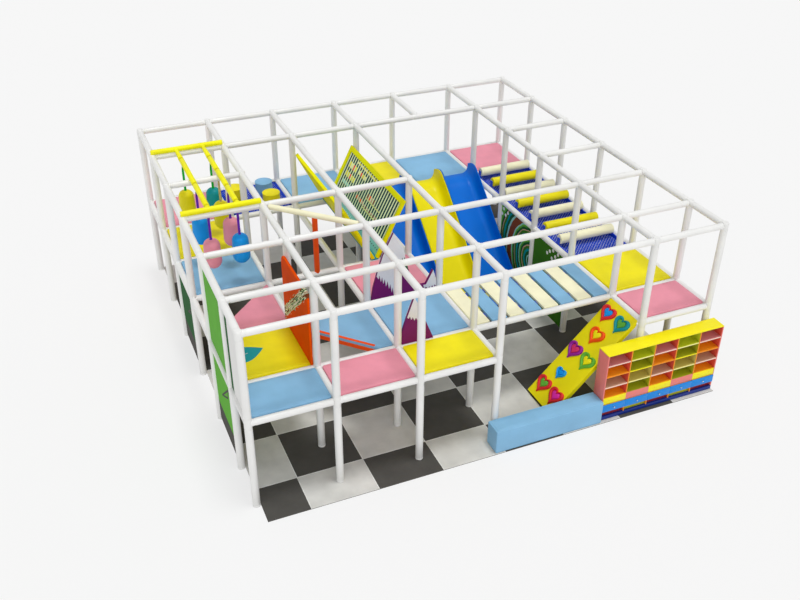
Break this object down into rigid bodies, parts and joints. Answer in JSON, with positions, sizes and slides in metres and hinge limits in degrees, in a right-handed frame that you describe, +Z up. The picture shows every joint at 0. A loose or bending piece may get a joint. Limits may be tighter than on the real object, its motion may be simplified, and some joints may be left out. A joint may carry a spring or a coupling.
{
  "type": "indoor soft playground",
  "caption": "Padded tube play frame on floor mats, with decks, slides, a plank bridge, rollers, nets, hanging bags, a heart climbing ramp, a soft bench and a shoe shelf.",
  "frame": {"origin": "on the underside of the floor mats, at the centre of the tube frame in plan", "axes": "+X to the right along the front, +Y from the front to the back, +Z up"},
  "size_m": [7.505, 7.34, 2.9796],
  "materials": {
    "floor_mat": "closed-cell foam tiles, dark and pale grey squares, fine grain",
    "frame_foam": "white vinyl skin over foam on the tubes, satin",
    "pad_light_blue": "vinyl cover, satin",
    "pad_pink": "vinyl cover, satin",
    "pad_yellow": "vinyl cover, satin",
    "foam_cream": "vinyl cover, satin",
    "foam_sky_blue": "vinyl cover, satin",
    "foam_teal": "vinyl cover, satin",
    "foam_orange": "vinyl cover, satin",
    "foam_purple": "vinyl cover with white zigzag caps, satin",
    "slide_blue": "moulded plastic, smooth",
    "slide_yellow": "moulded plastic, smooth",
    "net_blue": "woven net with a webbing border, matt",
    "shelf_yellow": "painted boards, satin",
    "drawer_blue": "painted front, satin"
  },
  "bodies": {
    "frame": {"floor_mat": "floor_mat", "frame_line_1": "frame_foam", "frame_line_2": "frame_foam", "frame_line_3": "frame_foam", "frame_line_4": "frame_foam", "frame_line_5": "frame_foam", "frame_line_6": "frame_foam", "frame_line_7": "frame_foam", "deck_pad_1_1": "pad_light_blue", "deck_pad_2_1": "pad_pink", "deck_pad_3_1": "pad_yellow", "deck_pad_6_1": "pad_pink", "deck_pad_1_2": "pad_yellow", "deck_pad_3_2": "pad_light_blue", "deck_pad_6_2": "pad_yellow", "deck_pad_3_3": "pad_pink", "deck_pad_1_4": "pad_light_blue", "deck_pad_1_5": "pad_yellow", "deck_pad_1_6": "pad_pink", "deck_pad_3_6": "pad_light_blue", "deck_pad_4_6": "pad_yellow", "deck_pad_5_6": "pad_light_blue", "deck_pad_6_6": "pad_pink", "deck_pad_1_3": "pad_pink", "deck_pad_2_2": "pad_light_blue", "plank_bridge": "pad_light_blue", "net_deck": "net_blue", "roller_bed": "net_blue", "net_wall_left": "pad_yellow", "net_wall_right": "pad_yellow", "slide_lane_1": "slide_blue", "slide_lane_2": "slide_yellow", "slide_lane_3": "slide_blue", "heart_ramp": "pad_yellow", "bench_block": "pad_light_blue", "shoe_shelf": "shelf_yellow", "mountain_panel_1": "foam_purple", "mountain_panel_2": "foam_purple", "orange_wall": "foam_orange", "cream_beam": "foam_cream", "bag_gantry": "pad_yellow"},
    "roller_1": {"roller_1": "foam_cream"},
    "roller_2": {"roller_2": "pad_yellow"},
    "roller_3": {"roller_3": "foam_cream"},
    "roller_4": {"roller_4": "pad_yellow"},
    "roller_5": {"roller_5": "foam_cream"},
    "roller_6": {"roller_6": "pad_yellow"},
    "roller_7": {"roller_7": "foam_cream"},
    "bag_1": {"bag_1": "pad_yellow"},
    "bag_2": {"bag_2": "foam_sky_blue"},
    "bag_3": {"bag_3": "pad_pink"},
    "bag_4": {"bag_4": "foam_teal"},
    "bag_5": {"bag_5": "pad_yellow"},
    "bag_6": {"bag_6": "pad_pink"},
    "bag_7": {"bag_7": "foam_sky_blue"},
    "shelf_drawer_1": {"shelf_drawer_1": "drawer_blue"},
    "shelf_drawer_2": {"shelf_drawer_2": "drawer_blue"},
    "shelf_drawer_3": {"shelf_drawer_3": "drawer_blue"},
    "shelf_drawer_4": {"shelf_drawer_4": "drawer_blue"},
    "shelf_drawer_5": {"shelf_drawer_5": "drawer_blue"}
  },
  "joints": [
    {"name": "roller_1_turn", "type": "hinge", "parent": "frame", "child": "roller_1", "pos_m": [3.05, 2.055, 1.572], "axis": [1, 0, 0], "continuous": true},
    {"name": "roller_2_turn", "type": "hinge", "parent": "frame", "child": "roller_2", "pos_m": [3.05, 1.561, 1.572], "axis": [1, 0, 0], "continuous": true},
    {"name": "roller_3_turn", "type": "hinge", "parent": "frame", "child": "roller_3", "pos_m": [3.05, 1.067, 1.572], "axis": [1, 0, 0], "continuous": true},
    {"name": "roller_4_turn", "type": "hinge", "parent": "frame", "child": "roller_4", "pos_m": [3.05, 0.573, 1.572], "axis": [1, 0, 0], "continuous": true},
    {"name": "roller_5_turn", "type": "hinge", "parent": "frame", "child": "roller_5", "pos_m": [3.05, 0.079, 1.572], "axis": [1, 0, 0], "continuous": true},
    {"name": "roller_6_turn", "type": "hinge", "parent": "frame", "child": "roller_6", "pos_m": [3.05, -0.415, 1.572], "axis": [1, 0, 0], "continuous": true},
    {"name": "roller_7_turn", "type": "hinge", "parent": "frame", "child": "roller_7", "pos_m": [3.05, -0.909, 1.572], "axis": [1, 0, 0], "continuous": true},
    {"name": "bag_1_swing", "type": "hinge", "parent": "frame", "child": "bag_1", "pos_m": [-3.26, 1.7555, 2.9373], "axis": [0, 1, 0], "range_deg": [-10, 30]},
    {"name": "bag_2_swing", "type": "hinge", "parent": "frame", "child": "bag_2", "pos_m": [-3.26, 0.7149, 2.9373], "axis": [0, 1, 0], "range_deg": [-10, 30]},
    {"name": "bag_3_swing", "type": "hinge", "parent": "frame", "child": "bag_3", "pos_m": [-3.26, -0.105, 2.9373], "axis": [0, 1, 0], "range_deg": [-10, 12]},
    {"name": "bag_4_swing", "type": "hinge", "parent": "frame", "child": "bag_4", "pos_m": [-2.81, 1.6653, 2.9373], "axis": [0, 1, 0], "range_deg": [-30, 10]},
    {"name": "bag_5_swing", "type": "hinge", "parent": "frame", "child": "bag_5", "pos_m": [-2.81, 1.115, 2.9373], "axis": [0, 1, 0], "range_deg": [-10, 10]},
    {"name": "bag_6_swing", "type": "hinge", "parent": "frame", "child": "bag_6", "pos_m": [-2.81, 0.4745, 2.9373], "axis": [0, 1, 0], "range_deg": [-30, 10]},
    {"name": "bag_7_swing", "type": "hinge", "parent": "frame", "child": "bag_7", "pos_m": [-2.81, -0.105, 2.9373], "axis": [0, 1, 0], "range_deg": [-10, 10]},
    {"name": "shelf_drawer_1_slide", "type": "slide", "parent": "frame", "child": "shelf_drawer_1", "axis": [0, -1, 0], "range_m": [0, 0.16]},
    {"name": "shelf_drawer_2_slide", "type": "slide", "parent": "frame", "child": "shelf_drawer_2", "axis": [0, -1, 0], "range_m": [0, 0.16]},
    {"name": "shelf_drawer_3_slide", "type": "slide", "parent": "frame", "child": "shelf_drawer_3", "axis": [0, -1, 0], "range_m": [0, 0.16]},
    {"name": "shelf_drawer_4_slide", "type": "slide", "parent": "frame", "child": "shelf_drawer_4", "axis": [0, -1, 0], "range_m": [0, 0.16]},
    {"name": "shelf_drawer_5_slide", "type": "slide", "parent": "frame", "child": "shelf_drawer_5", "axis": [0, -1, 0], "range_m": [0, 0.16]}
  ]
}
